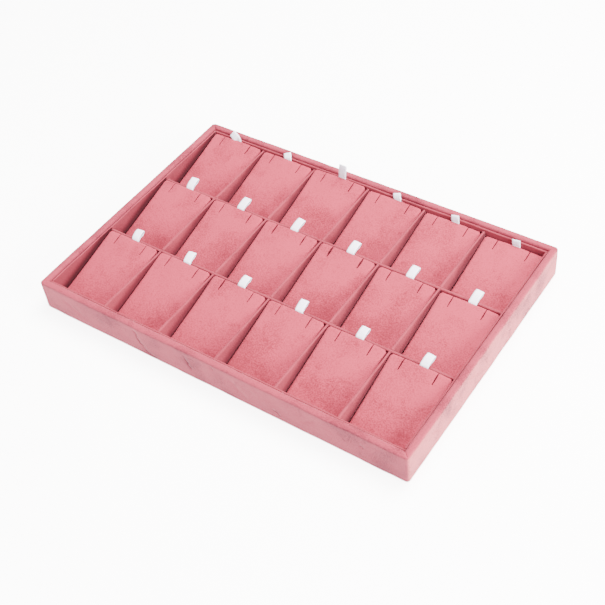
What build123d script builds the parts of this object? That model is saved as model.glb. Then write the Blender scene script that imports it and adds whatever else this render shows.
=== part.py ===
from build123d import *

import math
import os

# Jewelry display tray: a velvet-covered box with a divider grid and lift-out sloped pads.
# Frame: origin at the middle of the underside, +X along the length, +Y to the back, +Z up, in millimetres.

# Tray outline
tray_length = 350.0
tray_depth = 240.0
tray_height = 30.0
corner_radius = 3.0
rim_round = 2.0
foot_round = 1.5

# Boards and coverings
velvet_thickness = 0.8
wall_board_thickness = 4.4
base_board_thickness = 3.0
felt_thickness = 0.8
felt_inset = 3.0
turn_in_width = 16.0

# Liner strips along the walls, and the divider grid
liner_thickness = 2.2
liner_drop = 2.0
columns = 6
rows = 3
divider_thickness = 2.4
divider_drop = 4.0
card_edge_round = 0.9
lap_clearance = 0.1

# Sloped pads
pad_side_clearance = 0.5
pad_seat_clearance = 0.3
pad_front_thickness = 3.8
pad_back_drop = 1.5
pad_crown = 0.8
pad_draw_in = 0.4
pad_edge_ease = 1.2
slit_spacing = 29.0
slit_length = 11.0
slit_width = 0.8
slit_depth = 7.0

# Ribbon pulls
ribbon_width = 7.0
ribbon_thickness = 0.35
ribbon_tail_length = 12.0
ribbon_fold_gap = 0.15
ribbon_side_clearance = 0.3
loop_height = 5.0
loop_lean = 2.2

# Heights that follow from the stack of sheets
turn_in_top = felt_thickness + velvet_thickness
base_top = turn_in_top + base_board_thickness
floor_top = base_top + velvet_thickness
liner_top = tray_height - liner_drop
divider_top = tray_height - divider_drop
lap_level = (floor_top + divider_top) / 2

# Plan sizes that follow from the walls and the grid
wall_width = wall_board_thickness + 2 * velvet_thickness
well_length = tray_length - 2 * wall_width
well_depth = tray_depth - 2 * wall_width
grid_length = well_length - 2 * liner_thickness
grid_depth = well_depth - 2 * liner_thickness
cell_length = (grid_length - (columns - 1) * divider_thickness) / columns
cell_depth = (grid_depth - (rows - 1) * divider_thickness) / rows
column_pitch = cell_length + divider_thickness
row_pitch = cell_depth + divider_thickness

# Pad sizes that follow from the cell
pad_width = cell_length - 2 * pad_side_clearance
pad_length = cell_depth - 2 * pad_side_clearance
pad_bottom = floor_top + pad_seat_clearance
pad_front_top = pad_bottom + pad_front_thickness
pad_back_top = tray_height - pad_back_drop
pad_slope = math.atan2(pad_back_top - pad_front_top, pad_length)
pad_notch_depth = 2 * ribbon_thickness + ribbon_fold_gap
pad_notch_width = ribbon_width + 2 * ribbon_side_clearance
ribbon_foot = pad_back_top - ribbon_tail_length

os.makedirs("parts", exist_ok=True)


def keep(part, name):
    """Labels a finished piece and writes it to its own file."""
    part.label = name
    export_step(part, f"parts/{name}.step")


def column_centre(column):
    return (column - (columns + 1) / 2) * column_pitch


def row_centre(row):
    return (row - (rows + 1) / 2) * row_pitch


# The underside felt: a sheet pressed up into the window that the turned-in velvet leaves.
with BuildPart() as base_felt:
    with BuildSketch():
        RectangleRounded(tray_length - 2 * felt_inset, tray_depth - 2 * felt_inset, corner_radius)
    extrude(amount=felt_thickness)
    with BuildSketch(Plane.XY.offset(felt_thickness)):
        Rectangle(tray_length - 2 * turn_in_width, tray_depth - 2 * turn_in_width)
    extrude(amount=velvet_thickness)
keep(base_felt.part, "base_felt")

# The stiff bottom board, which the walls stand on.
board_corner = corner_radius - velvet_thickness
with BuildPart() as bottom_board:
    with BuildSketch(Plane.XY.offset(turn_in_top)):
        RectangleRounded(tray_length - 2 * velvet_thickness, tray_depth - 2 * velvet_thickness, board_corner)
    extrude(amount=base_board_thickness)
keep(bottom_board.part, "bottom_board")

# The ring of wall board, with the rim's arrises taken off, before it is cut into four boards.
with BuildPart() as wall_ring:
    with BuildSketch(Plane.XY.offset(base_top)):
        RectangleRounded(tray_length - 2 * velvet_thickness, tray_depth - 2 * velvet_thickness, board_corner)
        Rectangle(well_length + 2 * velvet_thickness, well_depth + 2 * velvet_thickness, mode=Mode.SUBTRACT)
    extrude(amount=tray_height - velvet_thickness - base_top)
    chamfer(wall_ring.faces().sort_by(Axis.Z)[-1].edges(), rim_round - velvet_thickness)

butt_plane_offset = well_depth / 2 + velvet_thickness
with BuildPart() as front_wall_board:
    add(wall_ring.part)
    split(bisect_by=Plane.XZ.offset(butt_plane_offset), keep=Keep.TOP)
keep(front_wall_board.part, "front_wall_board")

with BuildPart() as back_wall_board:
    add(wall_ring.part)
    split(bisect_by=Plane.XZ.offset(-butt_plane_offset), keep=Keep.BOTTOM)
keep(back_wall_board.part, "back_wall_board")

with BuildPart() as left_wall_board:
    add(wall_ring.part)
    split(bisect_by=Plane.XZ.offset(butt_plane_offset), keep=Keep.BOTTOM)
    split(bisect_by=Plane.XZ.offset(-butt_plane_offset), keep=Keep.TOP)
    split(bisect_by=Plane.YZ, keep=Keep.BOTTOM)
keep(left_wall_board.part, "left_wall_board")

with BuildPart() as right_wall_board:
    add(wall_ring.part)
    split(bisect_by=Plane.XZ.offset(butt_plane_offset), keep=Keep.BOTTOM)
    split(bisect_by=Plane.XZ.offset(-butt_plane_offset), keep=Keep.TOP)
    split(bisect_by=Plane.YZ, keep=Keep.TOP)
keep(right_wall_board.part, "right_wall_board")

# The velvet wrap: up the outside, over the rim, down the inside, and turned in under the bottom board.
with BuildPart() as velvet_wrap:
    with BuildSketch(Plane.XY.offset(felt_thickness)):
        RectangleRounded(tray_length, tray_depth, corner_radius)
    extrude(amount=tray_height - felt_thickness)
    with BuildSketch(Plane.XY.offset(base_top)):
        Rectangle(well_length, well_depth)
    extrude(amount=tray_height - base_top, mode=Mode.SUBTRACT)
    fillet(velvet_wrap.faces().sort_by(Axis.Z)[-1].edges(), rim_round)
    fillet(velvet_wrap.faces().sort_by(Axis.Z)[0].edges(), foot_round)
    with BuildSketch(Plane.XY.offset(felt_thickness)):
        Rectangle(tray_length - 2 * turn_in_width, tray_depth - 2 * turn_in_width)
    extrude(amount=velvet_thickness, mode=Mode.SUBTRACT)
    add(wall_ring.part, mode=Mode.SUBTRACT)
    add(bottom_board.part, mode=Mode.SUBTRACT)
keep(velvet_wrap.part, "velvet_wrap")

# The velvet floor, inside the wrap.
with BuildPart() as floor_liner:
    with BuildSketch(Plane.XY.offset(base_top)):
        Rectangle(well_length, well_depth)
    extrude(amount=velvet_thickness)
keep(floor_liner.part, "floor_liner")


def card_strip(length, thickness, top, centre, along_x):
    """A covered card strip standing on the floor liner, with its top edges rounded by the covering."""
    size = (length, thickness) if along_x else (thickness, length)
    with BuildPart() as strip:
        with BuildSketch(Plane.XY.offset(floor_top)):
            with Locations(centre):
                Rectangle(*size)
        extrude(amount=top - floor_top)
        long_edges = strip.faces().sort_by(Axis.Z)[-1].edges().filter_by(Axis.X if along_x else Axis.Y)
        fillet(long_edges, min(card_edge_round, 0.45 * thickness))
    return strip.part


liner_row = (well_depth - liner_thickness) / 2
liner_column = (well_length - liner_thickness) / 2
keep(card_strip(well_length, liner_thickness, liner_top, (0, -liner_row), True), "front_liner")
keep(card_strip(well_length, liner_thickness, liner_top, (0, liner_row), True), "back_liner")
keep(card_strip(grid_depth, liner_thickness, liner_top, (-liner_column, 0), False), "left_liner")
keep(card_strip(grid_depth, liner_thickness, liner_top, (liner_column, 0), False), "right_liner")

# The divider grid: row dividers are slotted from below and column dividers from above.
slot_width = divider_thickness + 2 * lap_clearance
divider_rows = [row_centre(row) + row_pitch / 2 for row in range(1, rows)]
divider_columns = [column_centre(column) + column_pitch / 2 for column in range(1, columns)]

for number, y in enumerate(divider_rows, start=1):
    with BuildPart() as row_divider:
        add(card_strip(grid_length, divider_thickness, divider_top, (0, y), True))
        with BuildSketch(Plane.XY.offset(floor_top)):
            with Locations([(x, y) for x in divider_columns]):
                Rectangle(slot_width, 2 * divider_thickness)
        extrude(amount=lap_level - floor_top, mode=Mode.SUBTRACT)
    keep(row_divider.part, f"row_divider_{number}")

for number, x in enumerate(divider_columns, start=1):
    with BuildPart() as column_divider:
        add(card_strip(grid_depth, divider_thickness, divider_top, (x, 0), False))
        with BuildSketch(Plane.XY.offset(lap_level)):
            with Locations([(x, y) for y in divider_rows]):
                Rectangle(2 * divider_thickness, slot_width)
        extrude(amount=divider_top - lap_level, mode=Mode.SUBTRACT)
    keep(column_divider.part, f"column_divider_{number}")

# One pad about the middle of its cell: a wedge with a crowned face, drawn-in sides and soft edges.
half_width = pad_width / 2
half_length = pad_length / 2
slope_direction = Vector(0, math.cos(pad_slope), math.sin(pad_slope))
across_slope = Plane(origin=(0, half_length, pad_back_top), x_dir=(1, 0, 0), z_dir=-slope_direction)

with BuildPart() as pad_form:
    with BuildSketch(Plane.YZ):
        with BuildLine():
            Polyline(
                (-half_length, pad_bottom),
                (half_length, pad_bottom),
                (half_length, pad_back_top + pad_crown),
                (-half_length, pad_back_top + pad_crown),
                close=True,
            )
        make_face()
    extrude(amount=half_width, both=True)
    with BuildSketch(across_slope):
        with BuildLine():
            Polyline(
                (half_width, -pad_crown),
                (half_width, -tray_height),
                (-half_width, -tray_height),
                (-half_width, -pad_crown),
            )
            ThreePointArc((-half_width, -pad_crown), (0, 0), (half_width, -pad_crown))
        make_face()
    extrude(amount=2 * pad_length, both=True, mode=Mode.INTERSECT)
    with BuildSketch():
        for side in (-1, 1):
            with BuildLine():
                ThreePointArc(
                    (side * half_width, -half_length),
                    (side * (half_width - pad_draw_in), 0),
                    (side * half_width, half_length),
                )
                Polyline(
                    (side * half_width, half_length),
                    (side * pad_width, half_length),
                    (side * pad_width, -half_length),
                    (side * half_width, -half_length),
                )
            make_face()
    extrude(amount=tray_height, mode=Mode.SUBTRACT)
    chamfer(pad_form.faces().sort_by(SortBy.AREA)[-1].edges(), pad_edge_ease)

    # Two slits run down the slope from the back edge.
    back_edge = Vector(half_length, pad_back_top)
    down_slope = Vector(-math.cos(pad_slope), -math.sin(pad_slope))
    into_pad = Vector(math.sin(pad_slope), -math.cos(pad_slope))
    for side in (-1, 1):
        with BuildSketch(Plane.YZ.offset(side * slit_spacing / 2)):
            with BuildLine():
                Polyline(
                    back_edge - into_pad * slit_depth + down_slope * slit_length,
                    back_edge + into_pad * slit_depth + down_slope * slit_length,
                    back_edge + into_pad * slit_depth - down_slope * slit_length,
                    back_edge - into_pad * slit_depth - down_slope * slit_length,
                    close=True,
                )
            make_face()
        extrude(amount=slit_width / 2, both=True, mode=Mode.SUBTRACT)

    # A shallow notch in the back takes the tails of the ribbon.
    with BuildSketch(Plane.XY.offset(ribbon_foot)):
        with Locations((0, half_length)):
            Rectangle(pad_notch_width, 2 * pad_notch_depth)
    extrude(amount=ribbon_tail_length + pad_crown, mode=Mode.SUBTRACT)

# One ribbon pull about the middle of its cell: both tails glued in the notch, the fold standing as a loop.
inner_tail = half_length - pad_notch_depth + ribbon_thickness / 2
outer_tail = half_length - ribbon_thickness / 2
tail_foot = ribbon_foot + ribbon_thickness
loop_foot = max(pad_back_top, liner_top)
loop_back = half_length + loop_lean
loop_round = (loop_back - inner_tail) / 2
loop_shoulder = pad_back_top + loop_height - ribbon_thickness / 2 - loop_round
with BuildPart() as ribbon_form:
    with BuildSketch(Plane.YZ):
        with BuildLine():
            rising = Line((inner_tail, tail_foot), (inner_tail, loop_shoulder))
            fold = TangentArc(rising @ 1, (loop_back, loop_shoulder), tangent=rising % 1)
            Polyline(fold @ 1, (outer_tail, loop_foot), (outer_tail, tail_foot))
            offset(amount=ribbon_thickness / 2, side=Side.BOTH, mode=Mode.REPLACE)
        make_face()
    extrude(amount=ribbon_width / 2, both=True)

for row in range(1, rows + 1):
    for column in range(1, columns + 1):
        cell = Location((column_centre(column), row_centre(row), 0))
        with BuildPart() as pad:
            with Locations(cell):
                add(pad_form.part)
        keep(pad.part, f"pad_r{row}c{column}")
        with BuildPart() as ribbon:
            with Locations(cell):
                add(ribbon_form.part)
        keep(ribbon.part, f"ribbon_r{row}c{column}")
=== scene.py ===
import math

import bpy
import numpy as np
from mathutils import Matrix, Vector


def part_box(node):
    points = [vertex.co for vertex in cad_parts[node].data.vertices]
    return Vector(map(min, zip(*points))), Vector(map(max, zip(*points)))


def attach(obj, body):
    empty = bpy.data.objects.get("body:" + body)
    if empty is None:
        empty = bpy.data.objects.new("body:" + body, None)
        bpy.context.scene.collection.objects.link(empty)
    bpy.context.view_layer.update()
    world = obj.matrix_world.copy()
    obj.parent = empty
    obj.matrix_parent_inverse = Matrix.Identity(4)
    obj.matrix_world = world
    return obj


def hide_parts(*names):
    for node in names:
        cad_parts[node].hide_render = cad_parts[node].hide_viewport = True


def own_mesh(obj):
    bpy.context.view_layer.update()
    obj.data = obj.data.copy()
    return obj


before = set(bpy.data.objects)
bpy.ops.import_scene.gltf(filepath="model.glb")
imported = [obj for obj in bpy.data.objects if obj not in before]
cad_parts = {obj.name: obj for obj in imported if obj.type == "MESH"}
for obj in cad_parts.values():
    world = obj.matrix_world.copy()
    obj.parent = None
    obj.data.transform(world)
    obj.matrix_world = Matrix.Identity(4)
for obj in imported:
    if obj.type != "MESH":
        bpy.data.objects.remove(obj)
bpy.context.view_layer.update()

rng = np.random.default_rng(7440)
MM = 0.001

# Row 1 is the front row, and column 1 the left one.
ROWS, COLUMNS = 3, 6
WALL = 6.0 * MM


def node_box(name):
    """Lowest and highest corner of a CAD node, as arrays in metres."""
    low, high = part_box(name)
    return np.array(low, float), np.array(high, float)


def middles(names, axis):
    """Where the middles of the CAD nodes lie along an axis, in metres."""
    return [float(sum(node_box(name))[axis] / 2) for name in names]


ROW_DIVIDERS = [f"row_divider_{number}" for number in range(1, ROWS)]
COLUMN_DIVIDERS = [f"column_divider_{number}" for number in range(1, COLUMNS)]
ROW_PLACES = middles(ROW_DIVIDERS, 1)
COLUMN_PLACES = middles(COLUMN_DIVIDERS, 0)
ROW_PITCH = ROW_PLACES[1] - ROW_PLACES[0]
CELLS_FRONT = ROW_PLACES[0] - ROW_PITCH
HALF_LENGTH, HALF_DEPTH = (float(side) for side in node_box("velvet_wrap")[1][:2])


# Camera

# The photograph is 605 pixels square, and its camera was fitted to the tray's corners.
PHOTO_SIDE = 605
FOCAL_PIXELS = 1115.0
SENSOR_MM = 36.0
CAMERA_PLACE = (0.409786, -0.502220, 0.662217)
CAMERA_RIGHT = Vector((0.82633803, 0.55678064, -0.08462141))
CAMERA_UP = Vector((-0.35673526, 0.63375881, 0.68635976))
CAMERA_BACK = Vector((0.43578139, -0.53697773, 0.72232229))


def make_camera():
    data = bpy.data.cameras.new("camera")
    data.sensor_width = SENSOR_MM
    data.lens = FOCAL_PIXELS * SENSOR_MM / PHOTO_SIDE
    data.clip_start, data.clip_end = 0.05, 20.0
    camera = bpy.data.objects.new("camera", data)
    bpy.context.scene.collection.objects.link(camera)
    turn = Matrix((CAMERA_RIGHT, CAMERA_UP, CAMERA_BACK)).transposed().to_4x4()
    camera.matrix_world = Matrix.Translation(CAMERA_PLACE) @ turn
    bpy.context.scene.camera = camera


make_camera()


# Light and floor

# Each square lamp: name, place, target and side in metres, power in watts, and tint.
LAMPS = [
    ("key", (0.2, 0.5, 1.4), (0, 0, 0), 0.9, 112, (1.0, 0.98, 0.96)),
    ("side", (1.4, -0.1, 0.7), (0, 0, 0.02), 0.7, 76, (1.0, 0.98, 0.97)),
    ("fill", (-0.5, -1.2, 0.7), (0, 0, 0.02), 0.9, 16, (1.0, 0.98, 0.98)),
]
ROOM_TINT = (1.0, 0.99, 0.98, 1.0)
ROOM_STRENGTH = 0.9
FLOOR_SIDE = 40.0
FLOOR_COLOUR = (0.92, 0.92, 0.92, 1.0)
FLOOR_GLOW = 6.5


def area_light(name, place, target, side, power, tint):
    data = bpy.data.lights.new(name, "AREA")
    data.shape = "RECTANGLE"
    data.size = data.size_y = side
    data.energy = power
    data.color = tint
    lamp = bpy.data.objects.new(name, data)
    lamp.location = place
    lamp.rotation_mode = "QUATERNION"
    lamp.rotation_quaternion = (Vector(target) - Vector(place)).to_track_quat("-Z", "Y")
    bpy.context.scene.collection.objects.link(lamp)


def make_stage():
    world = bpy.data.worlds.new("studio")
    world.use_nodes = True
    background = world.node_tree.nodes["Background"]
    background.inputs["Color"].default_value = ROOM_TINT
    background.inputs["Strength"].default_value = ROOM_STRENGTH
    bpy.context.scene.world = world
    for lamp in LAMPS:
        area_light(*lamp)
    bpy.ops.mesh.primitive_plane_add(size=FLOOR_SIDE)
    floor = bpy.context.object
    floor.name = "floor"
    material = bpy.data.materials.new("floor_paper")
    material.use_nodes = True
    shader = material.node_tree.nodes["Principled BSDF"]
    shader.inputs["Base Color"].default_value = FLOOR_COLOUR
    shader.inputs["Roughness"].default_value = 0.9
    shader.inputs["Emission Color"].default_value = (1.0, 1.0, 1.0, 1.0)
    shader.inputs["Emission Strength"].default_value = FLOOR_GLOW
    floor.data.materials.append(material)


make_stage()


# Materials


class Nodes:
    """Short calls for building a material's node tree."""

    def __init__(self, name):
        self.material = bpy.data.materials.new(name)
        self.material.use_nodes = True
        self.tree = self.material.node_tree
        self.shader = self.tree.nodes["Principled BSDF"]
        self.place = self.add("ShaderNodeTexCoord").outputs["Object"]

    def add(self, kind):
        return self.tree.nodes.new(kind)

    def feed(self, node, key, value):
        """Links a value to an input, or sets it there if it is a constant."""
        socket = node.inputs[key]
        if isinstance(value, bpy.types.NodeSocket):
            self.tree.links.new(value, socket)
        else:
            socket.default_value = value

    def noise(self, scale, detail=3.0, roughness=0.55, distortion=0.0, vector=None):
        node = self.add("ShaderNodeTexNoise")
        self.feed(node, "Vector", vector or self.place)
        self.feed(node, "Scale", scale)
        self.feed(node, "Detail", detail)
        self.feed(node, "Roughness", roughness)
        self.feed(node, "Distortion", distortion)
        return node.outputs["Fac"]

    def stretched(self, scale):
        """The object's coordinates, stretched by the three factors."""
        node = self.add("ShaderNodeMapping")
        self.feed(node, "Vector", self.place)
        self.feed(node, "Scale", scale)
        return node.outputs["Vector"]

    def ramp(self, value, low, high, start=0.0, end=1.0):
        node = self.add("ShaderNodeMapRange")
        node.interpolation_type = "SMOOTHSTEP"
        self.feed(node, "Value", value)
        for key, number in (("From Min", low), ("From Max", high), ("To Min", start), ("To Max", end)):
            self.feed(node, key, number)
        return node.outputs["Result"]

    def axes(self, vector):
        """The three parts of a vector."""
        node = self.add("ShaderNodeSeparateXYZ")
        self.feed(node, "Vector", vector)
        return node.outputs["X"], node.outputs["Y"], node.outputs["Z"]

    def facing(self):
        """The three parts of the surface's normal."""
        return self.axes(self.add("ShaderNodeNewGeometry").outputs["Normal"])

    def unsigned(self, value):
        """A value without its sign."""
        return self.math("ABSOLUTE", value, 0.0)

    def math(self, operation, first, second):
        node = self.add("ShaderNodeMath")
        node.operation = operation
        self.feed(node, 0, first)
        self.feed(node, 1, second)
        return node.outputs["Value"]

    def mix(self, share, first, second):
        node = self.add("ShaderNodeMix")
        node.data_type = "RGBA"
        self.feed(node, 0, share)
        self.feed(node, 6, first)
        self.feed(node, 7, second)
        return node.outputs[2]

    def bump(self, height, strength, distance, normal=None):
        node = self.add("ShaderNodeBump")
        self.feed(node, "Height", height)
        self.feed(node, "Strength", strength)
        self.feed(node, "Distance", distance)
        if normal:
            self.feed(node, "Normal", normal)
        return node.outputs["Normal"]


def colour(red, green, blue):
    """A linear colour from an sRGB one in 0 to 255."""
    return tuple(
        c / 12.92 if c <= 0.04045 else ((c + 0.055) / 1.055) ** 2.4
        for c in (red / 255, green / 255, blue / 255)
    ) + (1.0,)


# The height of the pads' slope at the front and at the back of a cell, and how far above it the crevices get painted
# shade.
SLOPE_LOW, SLOPE_HIGH = 8.8 * MM, 28.5 * MM
CREVICE_HEIGHT = 9.0 * MM

# The shadow of the rim on the left liner: how dark it is against the wall, and how far in from the wall it reaches.
RIM_SHADOW = 0.62
SHADOW_REACH = 4.0 * MM

# Fine creases in the wall velvet, darkened with painted shade and pressed in by a bump: middle of each in metres,
# turn about the wall's normal in degrees, length in mm.
FINE_CREASES = [
    ((-0.0705, -0.120, 0.0170), 67, 22),
    ((-0.0605, -0.120, 0.0055), 24, 15),
    ((-0.0205, -0.120, 0.0170), 71, 13),
    ((0.0035, -0.120, 0.0255), 25, 5),
    ((0.1364, -0.120, 0.0180), 60, 4),
    ((0.0620, -0.120, 0.0090), 35, 9),
    ((-0.1360, -0.120, 0.0180), 28, 10),
    ((-0.0400, 0.120, 0.0150), -30, 14),
]


def crease_line(n, place, angle, length):
    """One where the point lies in a thin wavering crease on the front or back wall, else nought."""
    turned = n.add("ShaderNodeMapping")
    turned.vector_type = "TEXTURE"
    n.feed(turned, "Vector", n.place)
    turned.inputs["Location"].default_value = place
    turned.inputs["Rotation"].default_value = (0.0, math.radians(angle), 0.0)
    along, off_wall, across = n.axes(turned.outputs["Vector"])
    waver = n.ramp(n.noise(140.0, 1.0), 0.3, 0.7, -1.2 * MM, 1.2 * MM)
    thin = n.ramp(n.unsigned(n.math("ADD", across, waver)), 0.2 * MM, 0.8 * MM, 1.0, 0.0)
    half = length * MM / 2
    inside = n.ramp(n.unsigned(along), 0.6 * half, half, 1.0, 0.0)
    near = n.ramp(n.unsigned(off_wall), 2.5 * MM, 3.5 * MM, 1.0, 0.0)
    return n.math("MULTIPLY", n.math("MULTIPLY", thin, inside), near)


def cell_share(n, y):
    """How far back the point lies in its row of cells, from nought at the front to one at the back."""
    return n.math("FRACT", n.math("MULTIPLY", n.math("ADD", y, -CELLS_FRONT), 1 / ROW_PITCH), 0.0)


def darker(tone, factor):
    return tuple(factor * c for c in tone[:3]) + (1.0,)


def crevice_shade(n, x, y, z, crevice):
    """Painted shade on an upright side of a card: darker close above the pads' slope, and the rim's painted shadow
    all over the left liner.
    """
    slope = n.ramp(cell_share(n, y), 0.0, 1.0, SLOPE_LOW, SLOPE_HIGH)
    slope.node.interpolation_type = "LINEAR"
    above = n.math("SUBTRACT", z, slope)
    sideways = n.ramp(n.unsigned(n.facing()[0]), 0.4, 0.9)
    low_down = n.ramp(above, 0.0, CREVICE_HEIGHT, crevice, 0.0)
    left_wall = WALL - HALF_LENGTH
    by_wall = n.ramp(x, left_wall, left_wall + SHADOW_REACH, RIM_SHADOW, 0.0)
    return n.math("MULTIPLY", n.math("ADD", low_down, by_wall), sideways)


def wall_colour(n, x, y, share, walls):
    """The colour of the outer walls, with painted shade on their upright faces and painted light on the right end,
    and where they are.
    """
    upright = n.ramp(n.facing()[2], 0.35, 0.85, 1.0, 0.0)
    end = n.ramp(n.unsigned(x), HALF_LENGTH - 3.5 * MM, HALF_LENGTH - 1.5 * MM)
    edge = n.ramp(n.unsigned(y), HALF_DEPTH - 3.5 * MM, HALF_DEPTH - 1.5 * MM)
    # Painted light: the right end is paler, as if lit from the right.
    lit_right_end = n.ramp(x, HALF_LENGTH - 1.5 * MM, HALF_LENGTH - 0.2 * MM)
    wall_light = n.mix(lit_right_end, walls[0], walls[1])
    return n.mix(share, wall_light, walls[2]), n.math("MULTIPLY", upright, n.math("MAXIMUM", end, edge))


def velvet(
    name,
    light,
    dark,
    crush=0.9,
    speckle=0.28,
    sheen=0.2,
    tint=(0.95, 0.30, 0.38),
    rows_shade=0.0,
    crevice=0.0,
    painted_flank_shade=0.0,
    walls=(),
):
    """Short-pile velvet: patches where the pile lies the other way, small crush marks, and the pile's own grain.
    Rows_shade is painted shade: how far a pad darkens towards the front of its cell. Crevice is painted shade: how
    far a card darkens close above the pads' slope. Flank is painted shade: how far a pad darkens on its upright
    sides. Walls are the colours of the outer walls, with painted light and shade: the light one for their upright
    faces, which are painted darker than the rim, the paler one for the right end, painted as if lit from the right,
    and the dark one."""
    n = Nodes(name)
    x, y, z = n.axes(n.place)
    patches = n.ramp(n.noise(36.0, 2.0, 0.5, 0.3), 0.42, 0.70)
    marks = n.ramp(n.noise(120.0, 2.0, 0.5, 0.5), 0.55, 0.75)
    grain = n.noise(1000.0, 2.0, 0.7)
    share = n.math("ADD", n.math("MULTIPLY", patches, 0.55), n.math("MULTIPLY", marks, 0.35))
    share = n.math("ADD", n.math("MULTIPLY", share, crush), n.ramp(grain, 0.33, 0.67, -speckle, speckle))
    # Painted shade: a pad darkens towards the front of its cell, where less light reaches.
    if rows_shade:
        share = n.math("ADD", share, n.ramp(cell_share(n, y), 0.15, 0.75, rows_shade, -0.25 * rows_shade))
    clamp = n.add("ShaderNodeClamp")
    n.feed(clamp, "Value", share)
    share = clamp.outputs["Result"]
    tone = n.mix(share, light, dark)
    # Painted shade in the crevices close above the pads, and the rim's painted shadow on the left liner.
    if crevice:
        tone = n.mix(crevice_shade(n, x, y, z, crevice), tone, darker(dark, 0.28))
    # Painted shade on the pads' upright sides, down in the gaps beside the dividers.
    if painted_flank_shade:
        tone = n.mix(n.ramp(n.facing()[2], 0.25, 0.8, painted_flank_shade, 0.0), tone, darker(dark, 0.28))
    surface = n.bump(n.noise(260.0, 3.0, 0.6), 0.3, 0.6 * MM)
    # Painted light and shade on the outer walls.
    if walls:
        wall_tone, on_wall = wall_colour(n, x, y, share, walls)
        tone = n.mix(on_wall, tone, wall_tone)
        creases = crease_line(n, *FINE_CREASES[0])
        for crease in FINE_CREASES[1:]:
            creases = n.math("MAXIMUM", creases, crease_line(n, *crease))
        # Painted shade along the fine creases.
        tone = n.mix(n.math("MULTIPLY", creases, 0.7), tone, darker(walls[2], 0.55))
        surface = n.bump(n.math("SUBTRACT", 1.0, creases), 0.6, 0.8 * MM, surface)
    n.feed(n.shader, "Base Color", tone)
    n.shader.inputs["Roughness"].default_value = 0.92
    n.shader.inputs["Specular IOR Level"].default_value = 0.08
    n.shader.inputs["Sheen Weight"].default_value = sheen
    n.shader.inputs["Sheen Roughness"].default_value = 0.4
    n.shader.inputs["Sheen Tint"].default_value = tint + (1.0,)
    n.feed(n.shader, "Normal", n.bump(grain, 0.25, 0.6 * MM, surface))
    return n.material


def satin_ribbon(name, dark, light):
    """White satin with fine threads across the ribbon."""
    n = Nodes(name)
    threads = n.noise(900.0, 2.0, 0.5, 0.0, n.stretched((0.15, 2.5, 2.5)))
    tone = n.mix(n.ramp(threads, 0.3, 0.7), dark, light)
    n.feed(n.shader, "Base Color", tone)
    n.shader.inputs["Roughness"].default_value = 0.38
    n.shader.inputs["Specular IOR Level"].default_value = 0.45
    n.shader.inputs["Sheen Weight"].default_value = 0.25
    n.feed(n.shader, "Normal", n.bump(threads, 0.12, 0.0002))
    return n.material


def board():
    """Grey fibreboard with flecks."""
    n = Nodes("fibreboard")
    flecks = n.noise(700.0, 4.0, 0.7)
    n.feed(n.shader, "Base Color", n.mix(flecks, colour(150, 136, 120), colour(178, 164, 146)))
    n.shader.inputs["Roughness"].default_value = 0.9
    n.feed(n.shader, "Normal", n.bump(flecks, 0.2, 0.0003))
    return n.material


def felt():
    """Thin pressed felt with tangled fibres."""
    n = Nodes("pressed_felt")
    fibres = n.noise(1400.0, 4.0, 0.75, 2.5)
    n.feed(n.shader, "Base Color", n.mix(fibres, colour(150, 84, 92), colour(190, 116, 124)))
    n.shader.inputs["Roughness"].default_value = 0.97
    n.shader.inputs["Sheen Weight"].default_value = 0.2
    n.feed(n.shader, "Normal", n.bump(fibres, 0.4, 0.0004))
    return n.material


pad_velvet = velvet(
    "pad_velvet_cloth",
    (0.332, 0.0370, 0.0650, 1.0),
    (0.187, 0.0185, 0.0318, 1.0),
    speckle=0.48,
    rows_shade=0.35,
    painted_flank_shade=0.6,
)
# Its wall colours are painted light and shade: the upright walls darker than the rim, and the right end paler.
wrap_velvet = velvet(
    "wrap_velvet_cloth",
    (0.27, 0.036, 0.060, 1.0),
    (0.15, 0.018, 0.032, 1.0),
    crush=1.2,
    speckle=0.5,
    sheen=0.3,
    tint=(0.9, 0.42, 0.46),
    walls=((0.163, 0.0255, 0.0395, 1.0), (0.31, 0.068, 0.078, 1.0), (0.072, 0.0112, 0.020, 1.0)),
)
# Painted shade: the cards' velvet is a darker copy of the pads' velvet, for the shade inside the cells.
card_velvet = velvet(
    "card_velvet_cloth",
    (0.23, 0.032, 0.050, 1.0),
    (0.13, 0.017, 0.028, 1.0),
    crush=0.7,
    crevice=0.75,
)
slit_shade = velvet("slit_shadow_cloth", (0.09, 0.012, 0.018, 1.0), (0.06, 0.008, 0.012, 1.0), sheen=0.0)
ribbon_satin = satin_ribbon("satin_ribbon_face", (0.78, 0.76, 0.93, 1.0), (0.92, 0.91, 1.0, 1.0))
# Painted shade: a darker copy of the satin for the inside of each ribbon's loop.
ribbon_painted_shade = satin_ribbon("satin_ribbon_painted_shade", (0.50, 0.46, 0.58, 1.0), (0.60, 0.56, 0.68, 1.0))
fibreboard = board()
base_cloth = felt()


# Mesh helpers


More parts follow.
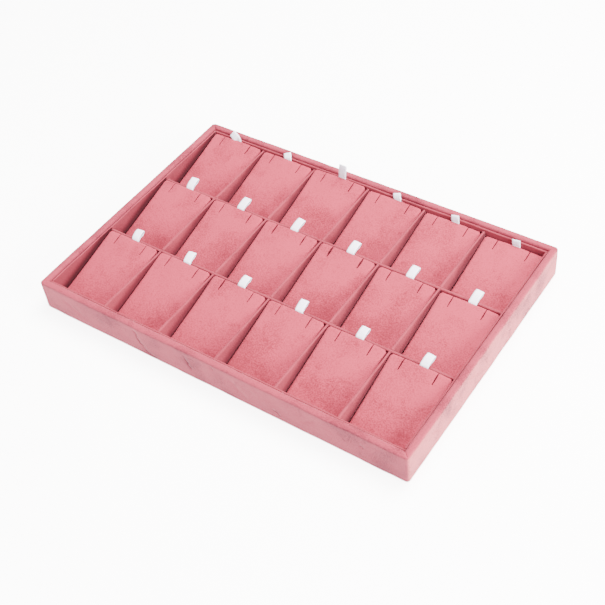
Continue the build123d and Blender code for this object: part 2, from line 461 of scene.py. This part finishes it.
def smooth_noise(points, cell, seed):
    """Smooth value noise between -1 and 1 at points given in metres, with features of about one cell."""
    p = np.asarray(points, float) / cell + 1000.0
    whole = np.floor(p).astype(np.int64)
    part = p - whole
    part = part * part * (3 - 2 * part)
    total = np.zeros(len(p))
    for dx in (0, 1):
        for dy in (0, 1):
            for dz in (0, 1):
                corner = whole + (dx, dy, dz)
                mixed = (corner[:, 0] * 73856093) ^ (corner[:, 1] * 19349663) ^ (corner[:, 2] * 83492791) ^ seed
                mixed = (mixed ^ (mixed >> 13)) * 1274126177 & 0x7FFFFFFF
                mixed = (mixed ^ (mixed >> 11)) * 1103515245 & 0x7FFFFFFF
                value = (mixed % 65536) / 32767.5 - 1
                weight = (
                    np.where(dx, part[:, 0], 1 - part[:, 0])
                    * np.where(dy, part[:, 1], 1 - part[:, 1])
                    * np.where(dz, part[:, 2], 1 - part[:, 2])
                )
                total += value * weight
    return total


def uneven(points, height, cell, seed):
    """Smooth chance heights at the points, up to the given height, with features of about one cell."""
    return height * smooth_noise(points, cell, seed)


def make_piece(name, points, faces, material, body, nodes):
    """A smooth piece of cloth on a body, in the place of its CAD nodes."""
    mesh = bpy.data.meshes.new(name)
    mesh.from_pydata([tuple(p) for p in points], [], faces)
    mesh.polygons.foreach_set("use_smooth", [True] * len(mesh.polygons))
    mesh.materials.append(material)
    mesh.update()
    piece = bpy.data.objects.new(name, mesh)
    bpy.context.scene.collection.objects.link(piece)
    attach(piece, body)
    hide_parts(*nodes)
    return piece


def lattice_box(xs, ys, zs):
    """The outer skin of a box divided at the given coordinates: points and outward quads."""
    index, points = {}, []

    def vertex(i, j, k):
        key = (i, j, k)
        if key not in index:
            index[key] = len(points)
            points.append((xs[i], ys[j], zs[k]))
        return index[key]

    nx, ny, nz = len(xs) - 1, len(ys) - 1, len(zs) - 1
    faces = []

    def side(count_a, count_b, at, outward):
        for a in range(count_a):
            for b in range(count_b):
                quad = [vertex(*at(a, b)), vertex(*at(a + 1, b)), vertex(*at(a + 1, b + 1)), vertex(*at(a, b + 1))]
                faces.append(quad if outward else quad[::-1])

    side(nx, ny, lambda a, b: (a, b, nz), True)
    side(nx, ny, lambda a, b: (a, b, 0), False)
    side(nx, nz, lambda a, b: (a, 0, b), True)
    side(nx, nz, lambda a, b: (a, ny, b), False)
    side(ny, nz, lambda a, b: (nx, a, b), True)
    side(ny, nz, lambda a, b: (0, a, b), False)
    return np.array(points, float), faces


def divided(low, high, step, edge):
    """Coordinates from low to high: fine inside the edge roundings, then about one step apart."""
    round_part = edge * (1 - np.cos(np.linspace(0, math.pi / 2, 5)))
    middle = np.linspace(low + edge, high - edge, max(2, int(round((high - low - 2 * edge) / step)) + 1))
    return np.unique(np.round(np.concatenate([low + round_part, middle, high - round_part]), 7))


def rounded(points, low, high, radius):
    """Moves the skin of the box low..high onto the same box with rounded edges."""
    core = np.clip(points, low + radius, high - radius)
    out = points - core
    length = np.linalg.norm(out, axis=1)
    scale = np.where(length > 1e-12, radius / np.maximum(length, 1e-12), 0)
    return core + out * scale[:, None]


# Pads

pad_low, pad_high = node_box("pad_r1c1")
PAD_WIDTH, PAD_LENGTH, PAD_RISE = pad_high - pad_low
PAD_FRONT = 3.8 * MM
PAD_CROWN = 0.8 * MM
PAD_EDGE = 2.2 * MM
PAD_DRAW_IN = 0.4 * MM
PAD_CORNER = 2.3 * MM
PAD_SKIN = 8.0 * MM
# Height and width of the pads' lumps and dents, and of the waver of their sides.
PAD_LUMPS = (0.28 * MM, 14 * MM)
PAD_DENTS = (0.07 * MM, 5 * MM)
PAD_WAVER = (0.12 * MM, 18 * MM)

SLIT_PLACE = 14.5 * MM
SLIT_LENGTH = 10.4 * MM
SLIT_DEPTH = 4.5 * MM
SLIT_LIP = 0.45 * MM
SLIT_REACH = 2.6 * MM
SLIT_BEND = 0.5 * MM
# How far beside a slit its edge pushes the cloth away, and how deep and how wide the cloth sinks along it.
SLIT_PUSH = 1.9 * MM
SLIT_SINK = 0.15 * MM
SLIT_SINK_WIDTH = 1.6 * MM
# A slit's gape where its share below is nought, and what a share of one adds.
SLIT_NARROW, SLIT_GAIN = 0.35 * MM, 1.25 * MM

# How wide the left and the right slit of each pad gape, as shares of that gain, by row and column.
SLIT_GAPE = {
    1: [(0.5, 0.4), (0.5, 0.5), (1.0, 0.4), (0.3, 0.5), (0.5, 0.6), (0.7, 0.7)],
    2: [(0.3, 0.4), (0.4, 0.6), (0.9, 0.7), (1.3, 1.2), (0.5, 0.5), (0.5, 0.6)],
    3: [(0.4, 0.7), (0.5, 0.4), (0.5, 0.6), (0.5, 0.5), (0.4, 0.4), (0.5, 0.4)],
}

# How much lower the back edge of each pad has settled, in mm, by row and column. The one below nought stands higher.
PAD_SETTLE = {
    1: [0, 0, 0, 0, 0, 0.3],
    2: [0, 0, 0, 0.3, 1.0, 2.2],
    3: [0, 0.5, -1.2, 1.0, 2.2, 4.0],
}


def settled(row, column):
    return PAD_SETTLE[row][column - 1] * MM


def pad_coordinates(half_width):
    """Places across a pad: fine at its rounded edges and around its two slits."""
    xs = divided(-half_width, half_width, 1.6 * MM, PAD_EDGE)
    slit_steps = np.array([-2.2, -1.4, -0.8, -0.45, -0.22, 0, 0.22, 0.45, 0.8, 1.4, 2.2]) * MM
    for centre in (-SLIT_PLACE, SLIT_PLACE):
        xs = xs[np.abs(xs - centre) > SLIT_REACH]
        xs = np.concatenate([xs, centre + slit_steps])
    return np.sort(xs)


def make_pad(row, column):
    name = f"pad_r{row}c{column}"
    low, high = node_box(name)
    centre = (low + high) / 2
    seed = 100 * row + column
    half_width, half_length = PAD_WIDTH / 2, PAD_LENGTH / 2
    xs = pad_coordinates(half_width)
    ys = divided(-half_length, half_length, 1.8 * MM, PAD_EDGE)
    zs = np.concatenate([[0.0, 0.45, 0.75], 0.75 + 0.25 * np.sin(np.linspace(0, math.pi / 2, 6))[1:]])
    flat, faces = lattice_box(xs, ys, zs)
    # Round the upper edge and the plan corners of an even box, then hang it from the sloped face.
    flat[:, 2] *= PAD_SKIN
    box_low = np.array((-half_width, -half_length, -1.0))
    box_high = np.array((half_width, half_length, PAD_SKIN))
    shaped = rounded(flat, box_low, box_high, PAD_EDGE)
    corner = np.array((half_width, half_length)) - PAD_CORNER
    core = np.clip(flat[:, :2], -corner, corner)
    out = flat[:, :2] - core
    reach = np.linalg.norm(out, axis=1)
    square = np.max(np.abs(out), axis=1)
    both = (np.abs(out) > 1e-9).all(axis=1)
    squeeze = np.where(both, square / np.maximum(reach, 1e-9), 1.0)
    shaped[:, :2] = core + (shaped[:, :2] - core) * squeeze[:, None]
    x, y, z = shaped[:, 0], shaped[:, 1], shaped[:, 2]
    v = (y + half_length) / PAD_LENGTH
    u = x / half_width
    plan = np.c_[shaped[:, :2], np.full(len(x), seed)]
    lumps = uneven(plan, *PAD_LUMPS, seed) + uneven(plan + (0, 0, 50), *PAD_DENTS, seed + 9)
    rise = PAD_RISE - PAD_FRONT - settled(row, column)
    surface = PAD_FRONT + v * rise - PAD_CROWN * u**2
    surface += lumps * np.clip((1 - np.abs(u)) * 5, 0, 1)
    below = PAD_SKIN - z
    side_share = np.clip((below - PAD_EDGE) / (PAD_SKIN - PAD_EDGE), 0, 1)
    height = np.where(below <= PAD_EDGE, surface - below, (surface - PAD_EDGE) * (1 - side_share))
    x = x - np.sign(x) * PAD_DRAW_IN * np.clip(np.abs(u), 0, 1) * (1 - (2 * v - 1) ** 2)
    x = x + uneven(np.c_[np.sign(x), y, 0 * y] + seed, *PAD_WAVER, seed + 3)
    # Open the two slits from the back edge.
    on_top = below < PAD_EDGE * 1.05
    in_slit = np.zeros(len(x), bool)
    for side, share in zip((-1, 1), SLIT_GAPE[row][column - 1]):
        gape = SLIT_NARROW + SLIT_GAIN * share
        bent = SLIT_BEND * (rng.random() - 0.5)
        along = (y - (half_length - SLIT_LENGTH)) / SLIT_LENGTH
        inside = (along > 0) & on_top
        offset = flat[:, 0] - side * SLIT_PLACE
        shape = np.clip(along, 0, 1)
        half_gap = 0.5 * gape * (0.4 + 0.6 * np.sin(math.pi * shape**0.75))
        lip = inside & (np.abs(np.abs(offset) - SLIT_LIP) < 0.01 * MM)
        bed = inside & (np.abs(offset) < 0.3 * MM)
        in_slit |= bed
        line = side * SLIT_PLACE + bent * np.sin(shape * math.pi)
        x = np.where(lip, line + np.sign(offset) * half_gap, x)
        x = np.where(bed, line + np.sign(offset) * half_gap * 0.7, x)
        height = np.where(bed, height - SLIT_DEPTH * np.clip(along * 6, 0, 1), height)
        beside = inside & (np.abs(offset) > 0.5 * MM)
        push = np.clip(1 - (np.abs(offset) - SLIT_LIP) / SLIT_PUSH, 0, 1) * beside
        x = x + np.sign(offset) * push * np.maximum(half_gap - SLIT_LIP, 0)
        near = np.exp(-((offset / SLIT_SINK_WIDTH) ** 2)) * np.clip(along * 3, 0, 1)
        height = height - np.where(on_top, near * SLIT_SINK, 0)
    points = np.c_[x + centre[0], y + centre[1], height + low[2]]
    piece = make_piece(f"{name}_velvet", points, faces, pad_velvet, f"insert_r{row}c{column}", [name])
    piece.data.materials.append(slit_shade)
    piece.data.polygons.foreach_set("material_index", [int(in_slit[face].any()) for face in faces])


# Ribbons

RIBBON_WIDTH = 7.0 * MM
RIBBON_THICKNESS = 0.35 * MM
RIBBON_TAIL = 9.0 * MM
RIBBON_CUP = 0.1 * MM
# How far in from the pad's back face the ribbon comes up.
RIBBON_INSET = 0.6 * MM

# How far right of the pad's middle each ribbon stands, in mm, by row and column.
RIBBON_SHIFT = {1: [2, 2, 2, 2, 2, 2], 2: [2, 2, 2, 2, 2, 2], 3: [0, 0, 2, 2, 2, 2]}

# How far the tip of each ribbon leans back, stands up and leans to the right from the pad's edge, in mm, by row and
# column, and how much longer than that the ribbons of a row are.
RIBBON_TIP = {
    1: [(8.4, 2.6, -0.6), (8.8, 2.2, -0.8), (8.6, 2.0, 0.4), (9.0, 2.4, -0.4), (8.6, 2.2, 0.5), (9.3, 2.4, 0.8)],
    2: [(8.8, 2.8, -0.4), (9.4, 2.4, 0.6), (9.4, 2.6, 1.0), (9.2, 2.4, 0.6), (8.8, 2.2, 0.5), (9.2, 3.4, 0.9)],
    3: [(2.4, 3.8, -7.6), (3.2, 3.6, -2.4), (1.6, 12.6, 0.8), (2.2, 4.6, -1.8), (1.4, 5.6, -1.2), (0.5, 5.6, -0.8)],
}
RIBBON_STRETCH = {1: 1.12, 2: 1.2, 3: 1.0}


def smooth_path(points, count):
    """Points evenly spread on a Catmull-Rom curve through the given ones."""
    p = np.array(points, float)
    p = np.vstack([2 * p[0] - p[1], p, 2 * p[-1] - p[-2]])
    out = []
    for i in range(1, len(p) - 2):
        for t in np.linspace(0, 1, count, endpoint=False):
            a, b, c, d = p[i - 1 : i + 3]
            bend = 2 * a - 5 * b + 4 * c - d
            twist = 3 * b - a - 3 * c + d
            out.append(0.5 * (2 * b + (c - a) * t + bend * t**2 + twist * t**3))
    out.append(p[-2])
    return np.array(out)


def ribbon_route(tip, along, fold):
    """The ribbon's way up from its tail behind the pad, round its tip and down again, from the pad's back edge."""
    across = np.cross((1.0, 0, 0), along)
    across *= fold / np.linalg.norm(across)
    return smooth_path(
        [
            (0, -0.45 * MM, -RIBBON_TAIL),
            (0, -0.40 * MM, -2.5 * MM),
            (0, -0.10 * MM, 0.2 * MM),
            tip * 0.35 + across * 0.8,
            tip * 0.75 + across * 0.8,
            tip - along * 0.25 * MM + across * 0.35,
            tip + along * 0.05 * MM,
            tip - along * 0.25 * MM - across * 0.35,
            tip * 0.7 - across * 0.8,
            tip * 0.3 - across * 0.2 + np.array((0, 0.3 * MM, 0)),
            (0, 0.35 * MM, -1.6 * MM),
            (0, 0.20 * MM, -RIBBON_TAIL),
        ],
        8,
    )


def ribbon_frame(route, tip, along):
    """For each point of the route, the ribbon's direction across its width and its normal. The loop turns with its
    lean, and the tails lie level."""
    step = np.gradient(route, axis=0)
    step /= np.linalg.norm(step, axis=1)[:, None]
    level = np.array((1.0, 0, 0))
    turned = level - along * along[0]
    turned /= np.linalg.norm(turned)
    share = np.clip(route @ along / (0.35 * np.linalg.norm(tip)), 0, 1)[:, None]
    wide = level + (turned - level) * share * share * (3 - 2 * share)
    wide -= step * np.sum(step * wide, axis=1)[:, None]
    wide /= np.linalg.norm(wide, axis=1)[:, None]
    return wide, np.cross(step, wide)


def make_ribbon(row, column):
    name = f"ribbon_r{row}c{column}"
    low, high = node_box(f"pad_r{row}c{column}")
    middle = (low[0] + high[0]) / 2 + RIBBON_SHIFT[row][column - 1] * MM
    back, top = high[1] - RIBBON_INSET, high[2] - settled(row, column)
    lean, rise, slide = RIBBON_TIP[row][column - 1]
    tip = np.array((slide, lean, rise)) * MM * RIBBON_STRETCH[row]
    along = tip / np.linalg.norm(tip)
    fold = (1.3 + 0.5 * rng.random() if row < ROWS else 0.75) * MM
    route = ribbon_route(tip, along, fold)
    wide, normal = ribbon_frame(route, tip, along)
    shares = np.linspace(-0.5, 0.5, 7)
    thick = RIBBON_THICKNESS / 2
    ring = [(c * RIBBON_WIDTH, thick) for c in shares] + [(c * RIBBON_WIDTH, -thick) for c in shares[::-1]]
    points = []
    for place, w, n in zip(route, wide, normal):
        for a, b in ring:
            cup = RIBBON_CUP * (2 * a / RIBBON_WIDTH) ** 2
            points.append(place + w * a + n * (b + cup))
    points = np.array(points) + (middle, back, top)
    count = len(ring)
    faces = []
    for i in range(len(route) - 1):
        for j in range(count):
            k = (j + 1) % count
            faces.append([i * count + j, i * count + k, (i + 1) * count + k, (i + 1) * count + j])
    faces.append(list(range(count))[::-1])
    faces.append([(len(route) - 1) * count + j for j in range(count)])
    piece = make_piece(f"{name}_satin", points, faces, ribbon_satin, f"insert_r{row}c{column}", [name])
    # The inner side of the ribbon takes the satin's painted-shade copy.
    piece.data.materials.append(ribbon_painted_shade)
    strips = len(shares) - 1
    shaded_inside = [int(number < (len(route) - 1) * count and number % count < strips) for number in range(len(faces))]
    piece.data.polygons.foreach_set("material_index", shaded_inside)
    # The ribbons of the front two rows get meshes of their own.
    if row < ROWS:
        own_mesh(piece)


# Cards: the liner strips and the dividers, each a card in velvet

LINER_SEAM = 0.5 * MM
CARD_STEP = 2.0 * MM
LAP_HALF = 1.3 * MM
# Height and width of a card's bow and of the waves of its upper edge, and how much of each end its neighbours hold.
CARD_BOW = (0.22 * MM, 26 * MM)
CARD_WAVES = (0.16 * MM, 17 * MM)
CARD_HELD = 8.0 * MM


def make_card(name, along_x, slots=(), slot_side=0):
    """A velvet-covered card standing on its edge. Slots are the places of the half-lap cuts along it: slot_side is 1
    where they are cut from the top and -1 where they are cut from below."""
    low, high = node_box(name)
    seed = sum(map(ord, name))
    axis, other = (0, 1) if along_x else (1, 0)
    half = (high[other] - low[other]) / 2
    middle = (high[other] + low[other]) / 2
    if "liner" in name:
        half -= LINER_SEAM / 2
        middle -= math.copysign(LINER_SEAM / 2, middle)
    top, foot = high[2], low[2]
    lap = (low[2] + high[2]) / 2
    arc = np.linspace(0, math.pi, 9)
    ring = [(-half, 0.0), (-half, 0.35), (-half, 0.7)]
    ring = [(x, foot + share * (top - half - foot)) for x, share in ring]
    ring += [(-half * math.cos(a), top - half * 0.9 + half * 0.9 * math.sin(a)) for a in arc]
    ring += [(-x, z) for x, z in ring[2::-1]]
    stations = list(np.linspace(low[axis], high[axis], int((high[axis] - low[axis]) / CARD_STEP) + 1))
    for place in slots:
        stations = [s for s in stations if abs(s - place) > LAP_HALF + 0.3 * MM]
        for edge in (-LAP_HALF, LAP_HALF):
            stations += [place + edge - 0.01 * MM, place + edge + 0.01 * MM]
    stations = np.array(sorted(stations))
    points = []
    for s in stations:
        in_slot = any(abs(s - place) < LAP_HALF for place in slots)
        for a, z in ring:
            if in_slot and slot_side > 0:
                z = min(z, lap)
            if in_slot and slot_side < 0:
                z = max(z, lap)
            point = [0, 0, z]
            point[axis], point[other] = s, middle + a
            points.append(point)
    points = np.array(points)
    share = np.clip((points[:, 2] - foot) / (top - foot), 0, 1)
    ends = np.minimum(points[:, axis] - low[axis], high[axis] - points[:, axis])
    free = np.clip(ends / CARD_HELD, 0, 1)
    line = np.c_[points[:, axis], np.zeros(len(points)), np.zeros(len(points))]
    points[:, other] += uneven(line, *CARD_BOW, seed) * share * free
    points[:, 2] += uneven(line, *CARD_WAVES, seed + 5) * share**3
    count = len(ring)
    faces = []
    for i in range(len(stations) - 1):
        for j in range(count):
            k = (j + 1) % count
            quad = [i * count + j, i * count + k, (i + 1) * count + k, (i + 1) * count + j]
            faces.append(quad[::-1] if along_x else quad)
    ends_faces = [list(range(count)), [(len(stations) - 1) * count + j for j in range(count)][::-1]]
    faces += ends_faces if along_x else [face[::-1] for face in ends_faces]
    make_piece(f"{name}_velvet", points, faces, card_velvet, "tray", [name])


# The outer wrap

VELVET = 0.8 * MM
TURN_IN = 16.0 * MM
RIM_ROUND = 2.0 * MM
RIM_BEVEL = 1.2 * MM
FOOT_ROUND = 1.5 * MM
CORNER = 3.0 * MM
LEAST_CORNER = 0.25 * MM
# Height and width of the unevenness of the walls and of the rim, and how far it may stand out from each.
WALL_SLACK = (0.22 * MM, 21 * MM)
WALL_RIPPLE = (0.10 * MM, 7 * MM)
WALL_LIMIT = 0.15 * MM
RIM_DIP = (0.26 * MM, 14 * MM)
RIM_RIPPLE = (0.10 * MM, 4 * MM)
RIM_LIMIT = 0.1 * MM
RIM_BAND = 1.2 * MM
# Depth and half width of the folds at the mitred corners, and how far a crease in a wall wavers.
MITRE_FOLD = 0.45 * MM
CREASE_WAVER = 0.24 * MM


def arc_points(centre, radius, start, end, count):
    angles = np.radians(np.linspace(start, end, count))
    return [(centre[0] + radius * math.cos(a), centre[1] + radius * math.sin(a)) for a in angles]


def wrap_section(low, high):
    """The wrap's section, as (distance in from the outside, height): first its outer face, then its glued face."""
    top, base = high[2], low[2]
    board_top = node_box("bottom_board")[1][2]
    outer = [(TURN_IN, base), (TURN_IN * 0.6, base), (TURN_IN * 0.3, base)]
    outer += arc_points((FOOT_ROUND, base + FOOT_ROUND), FOOT_ROUND, 270, 180, 6)
    outer += [(0.0, z) for z in np.linspace(base + FOOT_ROUND, top - RIM_ROUND, 16)[1:-1]]
    outer += arc_points((RIM_ROUND, top - RIM_ROUND), RIM_ROUND, 180, 90, 8)
    outer += [(d, top) for d in np.linspace(RIM_ROUND, WALL - RIM_ROUND, 5)[1:-1]]
    outer += arc_points((WALL - RIM_ROUND, top - RIM_ROUND), RIM_ROUND, 90, 0, 8)
    outer += [(WALL, z) for z in np.linspace(top - RIM_ROUND, board_top, 8)[1:]]
    inset = WALL - VELVET
    glued = [
        (inset, board_top),
        (inset, top - RIM_ROUND),
        (inset - RIM_BEVEL, top - VELVET),
        (VELVET + RIM_BEVEL, top - VELVET),
        (VELVET, top - RIM_ROUND),
        (VELVET, base + FOOT_ROUND),
        (VELVET + 0.3 * MM, base + VELVET),
        (TURN_IN, base + VELVET),
    ]
    return outer, glued


def wall_runs(half_x, half_y):
    """Places along the straight run of each of the four sides, from its start: fine near the corners."""
    fine = np.array([0.0, 0.35, 0.8, 1.4, 2.2, 3.2, 4.4, 6.0, 8.0]) * MM
    runs = []
    for half in (half_x, half_y, half_x, half_y):
        run = 2 * (half - CORNER)
        middle = np.linspace(10 * MM, run - 10 * MM, int(run / (1.1 * MM)))
        runs.append(np.concatenate([fine, middle, run - fine[::-1]]))
    return runs


# Creases in the wall velvet: side of the tray, place along it and height of both ends, in mm, depth and half width.
CREASES = [
    ("front", -74, 27, -66, 8, 0.45, 1.4),
    ("front", -66, 8, -54, 3, 0.35, 1.4),
    ("front", -23, 23, -18, 11, 0.40, 1.4),
    ("front", 2, 26, 5, 25, 0.35, 1.2),
    ("front", 135, 19, 138, 17, 0.40, 1.2),
    ("front", -150, 22, -132, 12, 0.30, 1.3),
    ("front", 20, 21, 34, 9, 0.25, 1.4),
    ("front", 84, 12, 96, 22, 0.25, 1.3),
    ("right", -88, 23, -72, 12, 0.35, 1.1),
    ("right", -30, 24, -16, 15, 0.40, 1.0),
    ("right", 22, 20, 40, 10, 0.30, 1.2),
    ("right", 80, 22, 92, 12, 0.30, 1.2),
    ("back", -120, 20, -100, 8, 0.35, 1.2),
    ("back", -20, 22, -6, 12, 0.30, 1.2),
    ("back", 70, 10, 84, 21, 0.35, 1.2),
    ("left", -60, 20, -46, 9, 0.35, 1.2),
    ("left", 40, 22, 52, 12, 0.30, 1.2),
]


def crease_depth(points, side):
    """How far the creases of one side of the tray press in at the given points."""
    along = points[:, 0] if side in ("front", "back") else points[:, 1]
    total = np.zeros(len(points))
    for where, a0, z0, a1, z1, depth, half in CREASES:
        if where != side:
            continue
        start, end = np.array((a0, z0)) * MM, np.array((a1, z1)) * MM
        way = end - start
        place = np.c_[along, points[:, 2]] - start
        share = np.clip(place @ way / (way @ way), 0, 1)
        away = np.linalg.norm(place - share[:, None] * way, axis=1)
        away = np.abs(away - CREASE_WAVER * np.sin(share * 7))
        fade = np.sqrt(np.clip(np.minimum(share, 1 - share) * 5 + 0.25, 0, 1))
        total += depth * MM * fade * np.exp(-((away / (half * MM)) ** 2))
    return total


def make_wrap():
    low, high = node_box("velvet_wrap")
    outer, glued = wrap_section(low, high)
    section = outer + glued
    half_x, half_y = (high[0] - low[0]) / 2, (high[1] - low[1]) / 2
    starts = [(-1, -1), (1, -1), (1, 1), (-1, 1)]
    ways = [(1, 0), (0, 1), (-1, 0), (0, -1)]
    stations = []
    for side, runs in enumerate(wall_runs(half_x, half_y)):
        stations += [(side, run, None) for run in runs]
        stations += [(side, None, angle) for angle in np.linspace(0, 90, 9)[1:-1]]

    def place(side, run, angle, inset):
        """The point a distance in from the outside, at a place along a side or at an angle round its last corner."""
        reach = max(CORNER, inset + LEAST_CORNER)
        if angle is None:
            way, sign = ways[side], starts[side]
            half = half_x if side % 2 == 0 else half_y
            travel = reach + run / (half - CORNER) * (half - reach)
            x = sign[0] * half_x + way[0] * travel - way[1] * inset
            y = sign[1] * half_y + way[1] * travel + way[0] * inset
            return x, y
        after = starts[(side + 1) % 4]
        radius = max(CORNER - inset, LEAST_CORNER)
        turn = math.radians((-90 + 90 * side) + angle)
        x = after[0] * (half_x - reach) + radius * math.cos(turn)
        y = after[1] * (half_y - reach) + radius * math.sin(turn)
        return x, y

    points = [(*place(side, run, angle, inset), z) for side, run, angle in stations for inset, z in section]
    points = np.array(points)
    count = len(section)
    total = len(stations)
    faces = []
    for i in range(total):
        after = (i + 1) % total
        for j in range(count):
            k = (j + 1) % count
            faces.append([i * count + j, after * count + j, after * count + k, i * count + k])
    # The cloth's own unevenness: slack along the walls, a soft rim, folds at the mitred corners.
    shown = np.tile(np.arange(count) < len(outer), total)
    inset = np.tile([s[0] for s in section], total)
    z = points[:, 2]
    outward = np.zeros_like(points)
    gap_x, gap_y = half_x - np.abs(points[:, 0]), half_y - np.abs(points[:, 1])
    near_x = gap_x < gap_y
    outward[:, 0] = np.where(near_x, np.sign(points[:, 0]), 0)
    outward[:, 1] = np.where(near_x, 0, np.sign(points[:, 1]))
    slack = uneven(points, *WALL_SLACK, 5) + uneven(points, *WALL_RIPPLE, 6)
    wall_part = shown & (inset < 0.5 * MM)
    crease = np.zeros(len(points))
    for side, mine in (
        ("front", ~near_x & (points[:, 1] < 0)),
        ("back", ~near_x & (points[:, 1] > 0)),
        ("right", near_x & (points[:, 0] > 0)),
        ("left", near_x & (points[:, 0] < 0)),
    ):
        crease += np.where(mine, crease_depth(points, side), 0)
    points += outward * np.where(wall_part, np.minimum(slack, WALL_LIMIT) - crease, 0)[:, None]
    rim_part = shown & (z > high[2] - RIM_BAND)
    dip = uneven(points, *RIM_DIP, 8) + uneven(points, *RIM_RIPPLE, 9)
    diagonal = np.abs(gap_x - gap_y) / math.sqrt(2)
    fold = MITRE_FOLD * np.exp(-((diagonal / MITRE_FOLD) ** 2)) * (inset > 0.4 * MM)
    points[:, 2] += np.where(rim_part, np.minimum(dip, RIM_LIMIT) - fold, 0)
    make_piece("outer_wrap_velvet", points, faces, wrap_velvet, "tray", ["velvet_wrap"])


# Assembly

for row in range(1, ROWS + 1):
    for column in range(1, COLUMNS + 1):
        make_pad(row, column)
        make_ribbon(row, column)

for name in ROW_DIVIDERS:
    make_card(name, True, COLUMN_PLACES, -1)
for name in COLUMN_DIVIDERS:
    make_card(name, False, ROW_PLACES, 1)
for name in ("front_liner", "back_liner"):
    make_card(name, True)
for name in ("left_liner", "right_liner"):
    make_card(name, False)
make_wrap()

CAD_FINISH = {
    "bottom_board": fibreboard,
    "front_wall_board": fibreboard,
    "back_wall_board": fibreboard,
    "left_wall_board": fibreboard,
    "right_wall_board": fibreboard,
    "base_felt": base_cloth,
    "floor_liner": card_velvet,
}
for name, material in CAD_FINISH.items():
    for material_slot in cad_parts[name].material_slots:
        material_slot.material = material
